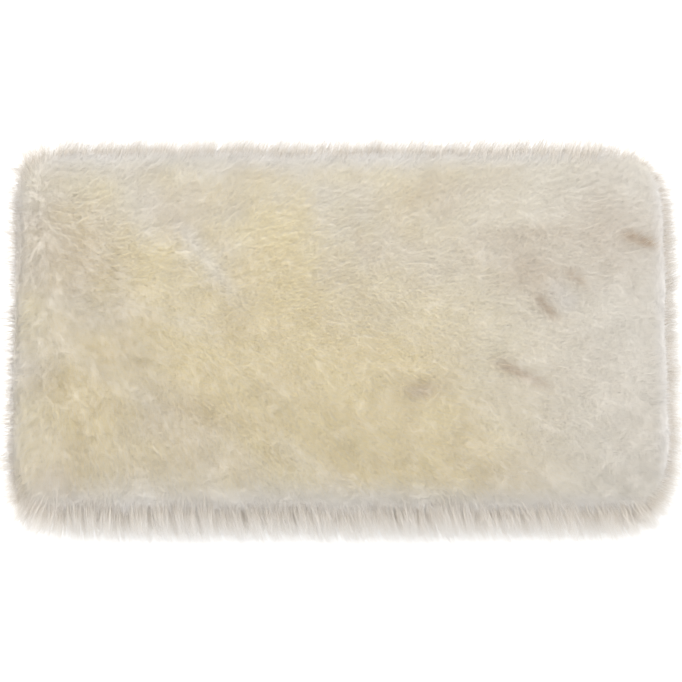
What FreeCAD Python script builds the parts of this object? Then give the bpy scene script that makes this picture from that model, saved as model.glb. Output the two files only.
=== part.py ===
"""Wash mitt: two sheepskin panels sewn wool side out, lined, with a knit cuff tucked into the mouth.

Units are millimetres. The mitt lies flat on its back panel. The origin is at the centre of the
resting face, +X points to the fingertip end, the hand goes in at the -X end, and +Z is up.
"""
import FreeCAD, Part
import math
import os

from FreeCAD import Vector

# Overall envelope of the wool
LENGTH = 280.0
WIDTH = 166.0
HEIGHT = 62.0
SEAM_HEIGHT = 27.0          # height of the plane where the two panels meet
WOOL_EDGE_RADIUS = 22.0     # rounding of the wool over the long edges
WOOL_END_RADIUS = 30.0      # rounding of the wool over the short edges
WOOL_CORNER_RADIUS = 26.0   # rounding of the wool's corners seen from above
END_BLUNTING = 14.0         # the lengthwise crown runs this far past the ends, which stand upright
REACH = 40.0                # how far cutting and trimming shapes run past the wool

# Sheepskin panels and lining
WOOL_SIDE = 14.0            # wool standing out past the side seam
WOOL_TOP = 15.0             # wool above the front hide
WOOL_BOTTOM = 12.0          # wool under the back hide, pressed by the mitt's own weight
MOUTH_OVERHANG = 8.0        # wool hanging past the mouth edge
HIDE_THICKNESS = 1.2
LINING_THICKNESS = 0.8
POCKET_SIDE_RADIUS = 13.0   # bend of the hides at the side seams
POCKET_NOSE_LENGTH = 62.0   # length over which the pocket closes at the fingertips
POCKET_CORNER_RADIUS = 22.0

# Side seam
STITCH_DIAMETER = 0.7
STITCH_HEIGHT = 6.0
STITCH_LEAN = 1.6
STITCH_PITCH = 5.0
SEAM_CHANNEL_DEPTH = 1.4    # room in the wool roots for the stitches
SEAM_CHANNEL_HEIGHT = 8.4

# Lining seam and binding rows
FINE_THREAD = 0.4
FINE_STITCH_LENGTH = 2.6
FINE_STITCH_PITCH = 5.0
THREAD_CLEARANCE = 0.18     # keeps a straight stitch off a curved face

# Mouth binding
BINDING_THICKNESS = 0.6
BINDING_WIDTH = 9.0
BINDING_ROW = 6.0           # distance of the stitch rows from the mouth edge
BINDING_RECESS = 1.4        # room in the wool roots for the tape and its stitches

# Knit cuff, tucked in
CUFF_CLEARANCE = 1.0        # gap between the binding and the cuff
CUFF_THICKNESS = 2.2
CUFF_LENGTH = 58.0
CUFF_START = 1.0            # the cuff's outer rim lies this far inside the mouth edge
ELASTIC_HEIGHT = 0.8
ELASTIC_WIDTH = 1.4
ELASTIC_COUNT = 6
HEM_ROW = 3.5               # distance of each hem row from the cuff's ends

# Blank care label on the cuff's lower inner face
LABEL_LENGTH = 30.0
LABEL_WIDTH = 18.0
LABEL_THICKNESS = 0.4
LABEL_GAP = 0.15
LABEL_STITCH_LENGTH = 1.6
LABEL_STITCH_COUNT = 7      # stitches in the row at each end of the label
LABEL_STITCH_MARGIN = 2.0   # distance of the rows from the label's edges

# Worked out from the above
HALF_LENGTH = LENGTH / 2
HALF_WIDTH = WIDTH / 2
WOOL_RISE = HEIGHT - SEAM_HEIGHT
POCKET_HALF_WIDTH = HALF_WIDTH - WOOL_SIDE
POCKET_RISE = WOOL_RISE - WOOL_TOP
POCKET_DROP = SEAM_HEIGHT - WOOL_BOTTOM
MOUTH_X = -HALF_LENGTH + MOUTH_OVERHANG
FINGER_X = HALF_LENGTH - WOOL_SIDE
CUFF_INSET = HIDE_THICKNESS + LINING_THICKNESS + BINDING_THICKNESS + CUFF_CLEARANCE
CUFF_X = MOUTH_X + CUFF_START


def crown_radius(half_span, rise, side_radius):
    """Radius of the shallow arc that meets a side arc smoothly and reaches the given rise."""
    return ((half_span - side_radius) ** 2 + rise ** 2 - side_radius ** 2) / (2 * (rise - side_radius))


def tangent_point(half_span, rise, side_radius):
    """Point where the shallow arc meets the side arc, measured from the oval's centre."""
    radius = crown_radius(half_span, rise, side_radius)
    across = half_span - side_radius
    reach = math.hypot(across, radius - rise)
    return Vector(across + side_radius * across / reach, side_radius * (radius - rise) / reach, 0)


def arc(start, middle, end):
    return Part.Arc(start, middle, end).toShape()


def oval_wire(half_span, rise, drop, side_radius):
    """Closed oval in the XY plane: a shallow arc above and below, and a rounder one at each side."""
    upper = tangent_point(half_span, rise, side_radius)
    lower = tangent_point(half_span, drop, side_radius)
    right_top = upper
    left_top = Vector(-upper.x, upper.y, 0)
    right_bottom = Vector(lower.x, -lower.y, 0)
    left_bottom = Vector(-lower.x, -lower.y, 0)
    edges = [
        arc(left_top, Vector(0, rise, 0), right_top),
        arc(right_top, Vector(half_span, 0, 0), right_bottom),
        arc(right_bottom, Vector(0, -drop, 0), left_bottom),
        arc(left_bottom, Vector(-half_span, 0, 0), left_top),
    ]
    return Part.Wire(edges)


def stand_across(shape):
    """Turns a section drawn in XY so that its X becomes Y and its Y becomes Z, at seam height."""
    shape.rotate(Vector(0, 0, 0), Vector(1, 1, 1), 120)
    shape.translate(Vector(0, 0, SEAM_HEIGHT))
    return shape


def stand_along(shape):
    """Turns a section drawn in XY so that its Y becomes Z, at seam height."""
    shape.rotate(Vector(0, 0, 0), Vector(1, 0, 0), 90)
    shape.translate(Vector(0, 0, SEAM_HEIGHT))
    return shape


def rounded_plan(x_low, x_high, half_width, radius):
    """Solid slab with rounded corners seen from above, taller than the mitt."""
    slab = Part.makeBox(
        x_high - x_low, 2 * half_width, HEIGHT + 2 * REACH, Vector(x_low, -half_width, -REACH)
    )
    corners = [edge for edge in slab.Edges if abs(edge.tangentAt(edge.FirstParameter).z) > 0.5]
    return slab.makeFillet(radius, corners)


def wool_envelope():
    """Outer form of the combed wool: crowned both ways, flat where it rests."""
    across = stand_across(
        Part.Face(oval_wire(HALF_WIDTH, WOOL_RISE, WOOL_RISE, WOOL_EDGE_RADIUS))
    )
    across.translate(Vector(-HALF_LENGTH, 0, 0))
    across = across.extrude(Vector(LENGTH, 0, 0))
    along = stand_along(
        Part.Face(
            oval_wire(HALF_LENGTH + END_BLUNTING, WOOL_RISE, WOOL_RISE, WOOL_END_RADIUS)
        )
    )
    along.translate(Vector(0, HALF_WIDTH, 0))
    along = along.extrude(Vector(0, -WIDTH, 0))
    plan = rounded_plan(-HALF_LENGTH, HALF_LENGTH, HALF_WIDTH, WOOL_CORNER_RADIUS)
    above_floor = Part.makeBox(LENGTH, WIDTH, HEIGHT, Vector(-HALF_LENGTH, -HALF_WIDTH, 0))
    return across.common(along).common(plan).common(above_floor)


def pocket_section(inset):
    return oval_wire(
        POCKET_HALF_WIDTH - inset,
        POCKET_RISE - inset,
        POCKET_DROP - inset,
        POCKET_SIDE_RADIUS - inset,
    )


def pocket_tube(inset, x_low, x_high):
    """Oval bar with the pocket's section, inset from the hides' outer face."""
    face = stand_across(Part.Face(pocket_section(inset)))
    face.translate(Vector(x_low, 0, 0))
    return face.extrude(Vector(x_high - x_low, 0, 0))


def pocket_nose(inset, x_low):
    """Side profile of the pocket: level from the mouth, closing over its nose at the fingertips."""
    nose = Part.Face(
        oval_wire(
            POCKET_NOSE_LENGTH - inset,
            POCKET_RISE - inset,
            POCKET_DROP - inset,
            POCKET_SIDE_RADIUS - inset,
        )
    )
    centre_x = FINGER_X - POCKET_NOSE_LENGTH
    nose.translate(Vector(centre_x, 0, 0))
    level = Part.makePlane(
        centre_x - x_low,
        POCKET_RISE + POCKET_DROP - 2 * inset,
        Vector(x_low, inset - POCKET_DROP, 0),
    )
    solids = []
    for face in (nose, level):
        face = stand_along(face)
        face.translate(Vector(0, HALF_WIDTH, 0))
        solids.append(face.extrude(Vector(0, -WIDTH, 0)))
    return solids[0].fuse(solids[1]).removeSplitter()


def pocket_form(inset, x_low):
    """Solid of everything inside the given inset of the hides' outer face, from x_low."""
    tube = pocket_tube(inset, x_low, FINGER_X - inset)
    plan = rounded_plan(
        x_low - REACH, FINGER_X - inset, POCKET_HALF_WIDTH - inset, POCKET_CORNER_RADIUS - inset
    )
    return tube.common(pocket_nose(inset, x_low)).common(plan)


def halves(shape):
    """Splits a shape at seam height into its front (upper) and back (lower) part."""
    size = 2 * LENGTH
    corner = Vector(-LENGTH, -LENGTH, SEAM_HEIGHT)
    above = Part.makeBox(size, size, size, corner)
    below = Part.makeBox(size, size, size, corner - Vector(0, 0, size))
    return shape.common(above), shape.common(below)


def seam_channel():
    """Room for the side seam's stitches, just outside the hides."""
    slab = rounded_plan(
        MOUTH_X - REACH,
        FINGER_X + SEAM_CHANNEL_DEPTH,
        POCKET_HALF_WIDTH + SEAM_CHANNEL_DEPTH,
        POCKET_CORNER_RADIUS + SEAM_CHANNEL_DEPTH,
    )
    band = Part.makeBox(
        FINGER_X + REACH - MOUTH_X,
        2 * WIDTH,
        SEAM_CHANNEL_HEIGHT,
        Vector(MOUTH_X, -WIDTH, SEAM_HEIGHT - SEAM_CHANNEL_HEIGHT / 2),
    )
    return slab.common(band)


def rod(start, end, diameter):
    direction = end - start
    return Part.makeCylinder(diameter / 2, direction.Length, start, direction)


def seam_path(offset, x_start):
    """Seam line along both sides and round the fingertip end, as points a pitch apart."""
    radius = POCKET_CORNER_RADIUS + offset
    side = POCKET_HALF_WIDTH + offset
    end = FINGER_X + offset
    bend = end - radius
    slant = radius * math.sqrt(0.5)
    corner_far = Vector(bend + slant, side - radius + slant, 0)
    corner_near = Vector(corner_far.x, -corner_far.y, 0)
    edges = [
        Part.LineSegment(Vector(x_start, side, 0), Vector(bend, side, 0)).toShape(),
        arc(Vector(bend, side, 0), corner_far, Vector(end, side - radius, 0)),
        Part.LineSegment(Vector(end, side - radius, 0), Vector(end, radius - side, 0)).toShape(),
        arc(Vector(end, radius - side, 0), corner_near, Vector(bend, -side, 0)),
        Part.LineSegment(Vector(bend, -side, 0), Vector(x_start, -side, 0)).toShape(),
    ]
    return Part.Wire(edges)


def side_seam_thread():
    """Whip stitches that bridge the two hides, leaning one way and the other in turn."""
    gap = STITCH_DIAMETER / 2 + THREAD_CLEARANCE
    path = seam_path(gap, MOUTH_X + BINDING_WIDTH + STITCH_PITCH)
    points = path.discretize(Distance=STITCH_PITCH)
    stitches = []
    for number in range(1, len(points) - 1):
        along = points[number + 1] - points[number - 1]
        along.normalize()
        lean = along * (STITCH_LEAN / 2 * (-1) ** number)
        rise = Vector(0, 0, STITCH_HEIGHT / 2)
        centre = points[number] + Vector(0, 0, SEAM_HEIGHT)
        stitches.append(rod(centre - rise - lean, centre + rise + lean, STITCH_DIAMETER))
    return Part.Compound(stitches)


def lining_seam_thread():
    """Fine stitches along the inside of the pocket, where the two linings meet."""
    inset = HIDE_THICKNESS + LINING_THICKNESS + FINE_THREAD / 2 + THREAD_CLEARANCE
    path = seam_path(-inset, CUFF_X + CUFF_LENGTH + FINE_STITCH_PITCH)
    points = path.discretize(Distance=FINE_STITCH_PITCH)
    rise = Vector(0, 0, FINE_STITCH_LENGTH / 2)
    stitches = []
    for point in points[1:-1]:
        centre = point + Vector(0, 0, SEAM_HEIGHT)
        stitches.append(rod(centre - rise, centre + rise, FINE_THREAD))
    return Part.Compound(stitches)


def ring_stitches(inset, x):
    """Ring of fine stitches that follows the pocket's section at the given inset."""
    wire = stand_across(pocket_section(inset))
    wire.translate(Vector(x, 0, 0))
    count = int(wire.Length / FINE_STITCH_PITCH)
    points = wire.discretize(Number=count + 1)[:-1]
    stitches = []
    for number, point in enumerate(points):
        along = points[(number + 1) % count] - points[number - 1]
        along.normalize()
        half = along * (FINE_STITCH_LENGTH / 2)
        stitches.append(rod(point - half, point + half, FINE_THREAD))
    return stitches


def mouth_binding():
    """Tape folded over the edges of the hides and linings all round the mouth."""
    skins = HIDE_THICKNESS + LINING_THICKNESS
    start = MOUTH_X - BINDING_THICKNESS
    end = MOUTH_X + BINDING_WIDTH
    outside = pocket_tube(-BINDING_THICKNESS, start, end)
    inside = pocket_tube(skins + BINDING_THICKNESS, start - 1, end + 1)
    covered = pocket_tube(0, MOUTH_X, end + 1).cut(pocket_tube(skins, start, end + 1))
    return outside.cut(inside).cut(covered)


def binding_stitches():
    row_x = MOUTH_X + BINDING_ROW
    lift = BINDING_THICKNESS + FINE_THREAD / 2 + THREAD_CLEARANCE
    outer_row = ring_stitches(-lift, row_x)
    inner_row = ring_stitches(HIDE_THICKNESS + LINING_THICKNESS + lift, row_x)
    return Part.Compound(outer_row + inner_row)


def elastic_ring(x):
    """Flat elastic yarn laid in the cuff's inner face."""
    outer = CUFF_INSET + CUFF_THICKNESS - ELASTIC_HEIGHT
    ring = pocket_tube(outer, x, x + ELASTIC_WIDTH)
    return ring.cut(pocket_tube(outer + ELASTIC_HEIGHT, x - 1, x + ELASTIC_WIDTH + 1))


def elastic_rings():
    """Evenly spaced rings between the two hem rows."""
    first = CUFF_X + 2 * HEM_ROW
    last = CUFF_X + CUFF_LENGTH - 2 * HEM_ROW - ELASTIC_WIDTH
    step = (last - first) / (ELASTIC_COUNT - 1)
    return [elastic_ring(first + number * step) for number in range(ELASTIC_COUNT)]


def knit_cuff(rings):
    """Oval knit tube, open at both ends, with a groove for each elastic ring."""
    end = CUFF_X + CUFF_LENGTH
    cuff = pocket_tube(CUFF_INSET, CUFF_X, end)
    cuff = cuff.cut(pocket_tube(CUFF_INSET + CUFF_THICKNESS, CUFF_X - 1, end + 1))
    for ring in rings:
        cuff = cuff.cut(ring)
    return cuff


def cuff_hem_stitches():
    lift = FINE_THREAD / 2 + THREAD_CLEARANCE
    inset = CUFF_INSET + CUFF_THICKNESS + lift
    near_row = ring_stitches(inset, CUFF_X + HEM_ROW)
    far_row = ring_stitches(inset, CUFF_X + CUFF_LENGTH - HEM_ROW)
    return Part.Compound(near_row + far_row)


def label_corner():
    """Lowest corner of the label, which lies on the cuff's lower inner face between the hem rows."""
    face_z = SEAM_HEIGHT - POCKET_DROP + CUFF_INSET + CUFF_THICKNESS
    return Vector(CUFF_X + (CUFF_LENGTH - LABEL_LENGTH) / 2, -LABEL_WIDTH / 2, face_z + LABEL_GAP)


def care_label():
    """Blank tab."""
    return Part.makeBox(LABEL_LENGTH, LABEL_WIDTH, LABEL_THICKNESS, label_corner())


def label_stitches():
    """A row of fine stitches across each end of the label, lying on its upper face."""
    corner = label_corner()
    span = LABEL_WIDTH - 2 * LABEL_STITCH_MARGIN - LABEL_STITCH_LENGTH
    step = span / (LABEL_STITCH_COUNT - 1)
    z = corner.z + LABEL_THICKNESS + FINE_THREAD / 2
    stitches = []
    for row_x in (LABEL_STITCH_MARGIN, LABEL_LENGTH - LABEL_STITCH_MARGIN):
        for number in range(LABEL_STITCH_COUNT):
            start = Vector(corner.x + row_x, corner.y + LABEL_STITCH_MARGIN + number * step, z)
            stitches.append(rod(start, start + Vector(0, LABEL_STITCH_LENGTH, 0), FINE_THREAD))
    return Part.Compound(stitches)


def wool_piles():
    """Front and back fleece: the envelope less the pocket and the room for the seams."""
    passage = pocket_tube(-BINDING_RECESS, -HALF_LENGTH - 1, MOUTH_X + BINDING_WIDTH + 1)
    wool = wool_envelope().cut(pocket_form(0, MOUTH_X))
    return halves(wool.cut(seam_channel()).cut(passage))


def skin(outer_inset, thickness):
    """Front and back half of one layer round the pocket, open at the mouth."""
    outer = pocket_form(outer_inset, MOUTH_X)
    inner = pocket_form(outer_inset + thickness, MOUTH_X - 1)
    return halves(outer.cut(inner))


def build():
    front_pile, back_pile = wool_piles()
    front_hide, back_hide = skin(0, HIDE_THICKNESS)
    front_lining, back_lining = skin(HIDE_THICKNESS, LINING_THICKNESS)
    rings = elastic_rings()
    return {
        "front_wool_pile": front_pile,
        "back_wool_pile": back_pile,
        "front_hide": front_hide,
        "back_hide": back_hide,
        "front_lining": front_lining,
        "back_lining": back_lining,
        "side_seam_thread": side_seam_thread(),
        "lining_seam_thread": lining_seam_thread(),
        "mouth_binding": mouth_binding(),
        "binding_stitches": binding_stitches(),
        "knit_cuff": knit_cuff(rings),
        "cuff_elastic_rings": Part.Compound(rings),
        "cuff_hem_stitches": cuff_hem_stitches(),
        "care_label": care_label(),
        "label_stitches": label_stitches(),
    }


os.makedirs("parts", exist_ok=True)
for node, shape in build().items():
    shape.exportStep("parts/" + node + ".step")
    box = shape.BoundBox
    print(
        node, len(shape.Solids), "solids", "valid" if shape.isValid() else "NOT VALID",
        round(shape.Volume), "mm3", "x", round(box.XMin, 1), round(box.XMax, 1),
        "y", round(box.YMin, 1), round(box.YMax, 1), "z", round(box.ZMin, 1), round(box.ZMax, 1),
    )
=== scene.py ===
"""Looks of the lambswool wash mitt: combed fleece, skins, lining, bound mouth and rib-knit cuff.

Everything is in metres in the frame's own axes: +X to the fingertips, +Z up, mouth at -X.
"""
import itertools
import math

import bpy
import numpy as np
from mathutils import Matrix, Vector
from mathutils.bvhtree import BVHTree
from mathutils.kdtree import KDTree


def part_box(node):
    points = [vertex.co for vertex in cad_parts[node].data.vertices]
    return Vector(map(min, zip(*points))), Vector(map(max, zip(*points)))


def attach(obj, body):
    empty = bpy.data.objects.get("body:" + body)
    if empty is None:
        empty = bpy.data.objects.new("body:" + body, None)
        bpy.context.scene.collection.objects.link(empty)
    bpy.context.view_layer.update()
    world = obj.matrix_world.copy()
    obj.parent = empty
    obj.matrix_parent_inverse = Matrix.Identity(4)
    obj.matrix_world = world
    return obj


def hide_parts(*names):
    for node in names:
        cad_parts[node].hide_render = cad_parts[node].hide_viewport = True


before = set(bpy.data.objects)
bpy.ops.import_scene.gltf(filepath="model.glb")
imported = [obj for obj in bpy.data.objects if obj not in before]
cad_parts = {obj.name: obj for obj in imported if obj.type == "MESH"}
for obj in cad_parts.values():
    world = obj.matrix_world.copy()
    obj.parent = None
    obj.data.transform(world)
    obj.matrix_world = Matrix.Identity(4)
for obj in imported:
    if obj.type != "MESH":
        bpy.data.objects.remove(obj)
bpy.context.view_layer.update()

MM = 0.001
SEED = 20261117
# Numbers that scatter the keys of the noise's lattice
HASH_AXES = (73856093, 19349663, 83492791)
HASH_SEED = 2654435761
HASH_ROUNDS = ((13, 1274126177), (15, 668265263))
HASH_MASK = 0x7FFFFFFF
HASH_RANGE = 0xFFFF

# Places read from the frame
WOOL_LOW = Vector(map(min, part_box("front_wool_pile")[0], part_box("back_wool_pile")[0]))
WOOL_HIGH = Vector(map(max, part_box("front_wool_pile")[1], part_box("back_wool_pile")[1]))
CENTRE = (WOOL_LOW + WOOL_HIGH) / 2
HALF = (WOOL_HIGH - WOOL_LOW) / 2
SEAM_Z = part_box("front_hide")[0].z
MOUTH_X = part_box("front_hide")[0].x
HIDE_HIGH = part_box("front_hide")[1]

# The pocket's section is an oval of four arcs; every layer follows it at its own inset.
POCKET_HALF = HIDE_HIGH.y
POCKET_RISE = HIDE_HIGH.z - SEAM_Z
POCKET_DROP = SEAM_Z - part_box("back_hide")[0].z
SIDE_RADIUS = 13 * MM
CORNER_RADIUS = 22 * MM
NOSE_LENGTH = 62 * MM
FINGER_X = HIDE_HIGH.x
HIDE_THICKNESS = 1.2 * MM
LINING_THICKNESS = 0.8 * MM
SKINS = HIDE_THICKNESS + LINING_THICKNESS

# Skins and linings, laid as grids from the mouth to the fingertips and over the hand
SKIN_ROWS = 110
SKIN_COLUMNS = 90
SKIN_CROWDING = 0.9  # crowds the rows towards the fingertips
LINING_WRINKLE = 1.6 * MM
FOLD_LEVEL = 0.6
FOLDS = ((0.5, 12 * MM, 51), (0.3, 5 * MM, 52))
FOLD_STRETCH = (0.5, 1, 0)  # folds run along the mitt
FOLD_START = (4 * MM, 25 * MM)  # distance past the cuff
FOLD_HEIGHT = (4 * MM, 12 * MM)  # height over the seam

# Tape, cuff and label
BINDING_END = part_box("mouth_binding")[1].x
BINDING_THICKNESS = MOUTH_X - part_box("mouth_binding")[0].x
BINDING_PUCKER = 0.12 * MM
BINDING_STITCHES = 60
BINDING_POINTS = 8  # points round the mouth for each stitch
FOLD_POINTS = 9
LEG_POINTS = 7

CUFF_LOW, CUFF_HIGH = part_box("knit_cuff")
CUFF_THICKNESS = 2.2 * MM
CUFF_MIDDLE = POCKET_HALF - CUFF_HIGH.y + CUFF_THICKNESS / 2  # inset of the middle of the knit
WALES = 100  # columns of loops; two plain, two purl
COURSES = 20  # rows of loops
LOOP_POINTS = 10
YARN_SIDES = 4
YARN_RADIUS = 0.40 * MM
RIB_RELIEF = 0.42 * MM  # how far columns lie from the middle of the knit
LOOP_RELIEF = 0.26 * MM  # how far a loop's legs stand before its head and feet
LOOP_SPREAD = 0.13  # how far a loop widens above its neck, in columns
LOOP_REACH = 0.78  # how far a loop reaches to each side of its row, in rows
ELASTIC_RINGS = 6
ELASTIC_WIDTH = 1.4 * MM
ELASTIC_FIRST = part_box("cuff_elastic_rings")[0].x + ELASTIC_WIDTH / 2
ELASTIC_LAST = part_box("cuff_elastic_rings")[1].x - ELASTIC_WIDTH / 2
ELASTIC_PULL = 0.75 * MM  # how far the elastic draws the inner columns outwards
ELASTIC_REACH = 1.3 * MM  # how far along the cuff one ring's pull is felt
OUTER_PULL = 0.35  # share of the pull on the outer columns
RIB_SHARPNESS = 2.2
WEB_THICKNESS = 0.25 * MM
WEB_END_GAP = 0.6 * MM
WEB_STEPS = 6  # points round the web for each column
WEB_ROWS = 80
RING_DETAIL = 4  # points of the section for each of the yarn's
HEM_CORD = 0.48 * MM
HEM_SCALLOP = 0.25 * MM
HEM_WAVE = 0.12 * MM

LABEL_LOW, LABEL_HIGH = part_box("care_label")
LABEL_BOW = 0.35 * MM
LABEL_RIPPLE = 2.6 * MM
LABEL_RIPPLE_SHARE = 0.4
LABEL_ROWS = 61
LABEL_COLUMNS = 37

# Underwool, the dense wool next to the skin
UNDERWOOL_VOXEL = 2.4 * MM
FREE_BAND = (1 * MM, 6 * MM)  # distance from the skin over which the wool becomes free
SEAM_BAND = 5 * MM  # height over the parting where its own normals take over
ROUNDING_ROUNDS = 40  # rounds of relaxing for the CAD solid's edges
SOFTENING_ROUNDS = 5  # and for the lumps
TOP_DEPTH = 2.9 * MM  # how far the underwool lies inside the fleece, on top
SIDE_DEPTH = 7.5 * MM  # at the rim, where the fleece thins out into a fringe
PRESSED_DEPTH = 1.2 * MM  # under the mitt, where its weight presses the fleece
LEAST_SHARE = 0.4  # least height of the underwool, as a share
LUMPS = ((1.2, 11 * MM, 1), (0.4, 4 * MM, 2))  # height in mm, size and seed
TOP_BAND = (0.5, 0.9)  # how upright normals are, from the sides to the top or underside
RAMP_BAND = (0.3, 0.85)  # the same for the strands' density on top

# Strands
STRAND_SEGMENTS = 2
RING_SIDES = 3
STRANDS_PER_PIECE = 19000
ROOT_DEPTH = 0.6 * MM
ROOT_REACH = 2 * MM  # strands grow where the underwool is this far off the skin
ROOT_FACING = 0.15  # and faces away from it by more than this cosine
LENGTH_WAVES = ((0.15, 9 * MM, 21),)
LENGTH_SPREAD = (0.65, 1.1)
RADIUS_SPREAD = (0.75, 1.15)
LIFT_WAVES = ((math.radians(9), 8 * MM, 22),)
LIFT_SPREAD = 0.10
TIP_LIFT_SPREAD = 0.12
PRESSED_FLATNESS = 0.9  # share of the lift lost under the mitt's weight
BEND_POWER = 0.8  # how early on its way a strand bends over
SAG = 0.30
FLOOR_GAP = 0.25 * MM
MOUTH_MARGIN = 1.2 * MM
MOUTH_SQUARENESS = 4  # power of the oval that strands keep out of at the mouth
MOUTH_CORE = 0.2  # share of that oval that counts as its middle
SHORTEST_SHARE = 0.3  # share of its length that the clippers always leave
FINGER_TRIM = 2.0 * MM  # how much shorter the wool is clipped at the fingertips
# Rounding of the outline's corners: (towards the fingertips, towards +Y, radius)
CORNER_RADII = ((1, 1, 30 * MM), (1, -1, 13 * MM), (-1, 1, 11 * MM), (-1, -1, 18 * MM))

UV_MARGIN = 0.01
UNDERWOOL_SHADE = 0.5

# Two coats of strands. Densities are per square millimetre of underwool on top, side and underside.
# Shear is where the clippers stop a strand, as a distance from the outline: the longest, the
# shortest, and how few are left long. Clump is how far the tips of a lock draw together, and
# smoothing the share of the fleece's own normal in each strand's shading.
PILE = {
    "densities": (6.0, 3.0, 0.4),
    "radius": 0.08 * MM,
    "taper": 0.58,
    "smoothing": 0.92,
    "length": 5.2 * MM,
    "root_lift": math.radians(74),
    "tip_lift": math.radians(44),
    "shear": (-1.0 * MM, -7.0 * MM, 0.8),
    "lock_strands": 40,
    "clump": 0.14,
}
HALO = {
    "densities": (0.0, 3.0, 0.0),
    "radius": 0.05 * MM,
    "taper": 0.75,
    "smoothing": 0.4,
    "length": 19.0 * MM,
    "root_lift": math.radians(84),
    "tip_lift": math.radians(56),
    "shear": (7.5 * MM, -4.0 * MM, 1.0),
    "lock_strands": 60,
    "clump": 0.42,
}

# Combing, in degrees clockwise from +X seen from above. Bands are shares of the way from the
# fingertips to the mouth, or from the far side to the near one.
COMB_FAR = -12  # at the far side
COMB_NEAR_TURN = 24  # how much further it turns towards the near side
COMB_SWING = 85  # swing to the near side over the near, mouth-side quarter
COMB_SWING_BAND = (0.15, 0.85)
COMB_SWING_POWER = 1.3  # how late the swing grows on the way to the mouth
COMB_MOUTH = 88  # along the mouth's edge
COMB_MOUTH_SHARE = 0.8
COMB_MOUTH_BAND = (0.82, 1.0)
COMB_CORNER_BAND = (0.05, 0.4)
COMB_WANDER = ((13, 24 * MM, 11), (10, 7 * MM, 12))
COMB_SPREAD = 0.12  # spread of single strands, as a share of the combed direction
MOUTH_EDGE_BAND = (0.9, 0.98)
MOUTH_EDGE_LEAN = 1.3  # how strongly wool leans out over the mouth's edge
PARTING_SPREAD = 2.2  # how far beside a crease the wool turns away, in its widths
PARTING_PUSH = 0.7
SIDE_BAND = (0.15, 0.8)  # how level normals are, from the top to the sides
SIDE_FALL = 0.45
SIDE_OUTWARD = 0.5
MOUTH_END_BAND = (0.2, 0.7)  # how far a normal points out of the mouth's end
MOUTH_END_LEAN = 0.3

# Lines in the top of the fleece, from the middle of the mitt: along, across, direction in degrees,
# half length, half width, and height in mm; a crease is below the fleece and a ridge above it.
LINE_FADE = (0.4, 1.3)  # half lengths from its middle between which a line fades out
CREASES = (
    (122, 34, -19, 8, 2.2, -4.2),
    (83, 5, -48, 7, 2.0, -3.2),
    (95, 18, -40, 5, 2.0, -2.2),
    (72, -22, -25, 13, 2.0, -3.2),
    (31, -29, 0, 6, 2.4, -1.6),
    (7, 32, -67, 9, 2.0, -0.8),
)
RIDGES = (
    (-57, 26, -52, 30, 3.0, 1.3),
    (-75, 2, -17, 21, 3.5, 0.8),
    (-93, -24, -33, 34, 4.0, 0.9),
    (-15, -56, -33, 17, 4.0, 0.9),
    (89, 10, -50, 8, 4.5, 1.0),
)

# Patches of colour seen from above, in shares of the half length and half width from the middle:
# (along, across, radius along, radius across, strength)
YELLOW_PATCHES = (
    (-0.26, -0.12, 0.42, 0.52, 1.0),
    (0.1, -0.5, 0.28, 0.32, 0.65),
    (0.32, -0.68, 0.26, 0.2, 0.6),
    (-0.72, -0.5, 0.24, 0.35, 0.45),
)
# Brown patches are tan stains; the ones at the creases near the fingertips are made darker as
# painted shade
BROWN_AND_PAINTED_SHADE_PATCHES = (
    (0.55, 0.24, 0.1, 0.13, 0.42),
    (0.57, 0.44, 0.1, 0.06, 0.25),
    (-0.78, 0.34, 0.18, 0.24, 0.25),
    (0.26, 0.65, 0.1, 0.12, 0.25),
    (0.22, -0.34, 0.07, 0.06, 0.25),
    (0.78, 0.45, 0.14, 0.2, 0.34),
    (-0.83, -0.75, 0.12, 0.16, 0.2),
    (-0.5, 0.55, 0.1, 0.12, 0.2),
    (0.45, -0.76, 0.14, 0.12, 0.15),
    (0.42, 0.36, 0.1, 0.1, 0.15),
    (-0.45, -0.48, 0.14, 0.14, 0.15),
)

# Weights of the wool's colours
BASE_WARMTH = 0.28
CLOUDS = ((0.42, 26 * MM, 31), (0.26, 9 * MM, 32))
CLOUD_BAND = (0.1, 0.5)  # the clouds grow from the fingertips towards the mouth
BASE_BROWN = 0.05
BLUSH = ((0.10, 21 * MM, 33), (0.08, 7 * MM, 34))
# Painted shade: the creases are drawn browner and darker in colour, on top of their real depth
CREASE_PAINTED_SHADE = 0.22
# Painted light: the ridges are drawn paler in colour, where their tips would catch the light
RIDGE_PAINTED_LIGHT = 0.3
RIM_BAND = (7 * MM, 23 * MM)  # distance from the outline over which the pale rim ends; the rim is partly paler wool and partly painted light
RIM_PALE_AND_PAINTED_LIGHT = 0.95
RIM_MOUTH_SCALE = 1.8  # the rim is this much narrower at the mouth
FINGER_BAND = (0.02, 0.42)  # the wool is paler towards the fingertips
FINGER_PALE = 0.6

# Colours of the wool
CREAM = (0.92, 0.87, 0.76)
YELLOW = (0.97, 0.86, 0.54)
BROWN = (0.64, 0.50, 0.35)
PALE = (0.94, 0.92, 0.91)
ROOT = (0.96, 0.94, 0.90)
SHADE = (0.60, 0.52, 0.40)
# Painted shade: the fringe's roots are darkened where the side walls lie in shade
FRINGE_ROOT_PAINTED_SHADE = (0.80, 0.75, 0.68)
FRINGE_TIP = (0.98, 0.975, 0.97)
FRINGE_SHADE = (0.66, 0.61, 0.54)
ROOT_COLOUR = 0.4  # how much of the wool's colour reaches the roots
SHADE_SHARE = 0.08  # how much darker single strands may be
FRINGE_SHADE_SHARE = 0.2
FRINGE_TIP_BAND = (0.3, 1.0)  # where along a strand the fringe goes from its painted-shade root to its bleached tip
GLOW_SHARE = 0.5  # share of the light that wool passes on

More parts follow.
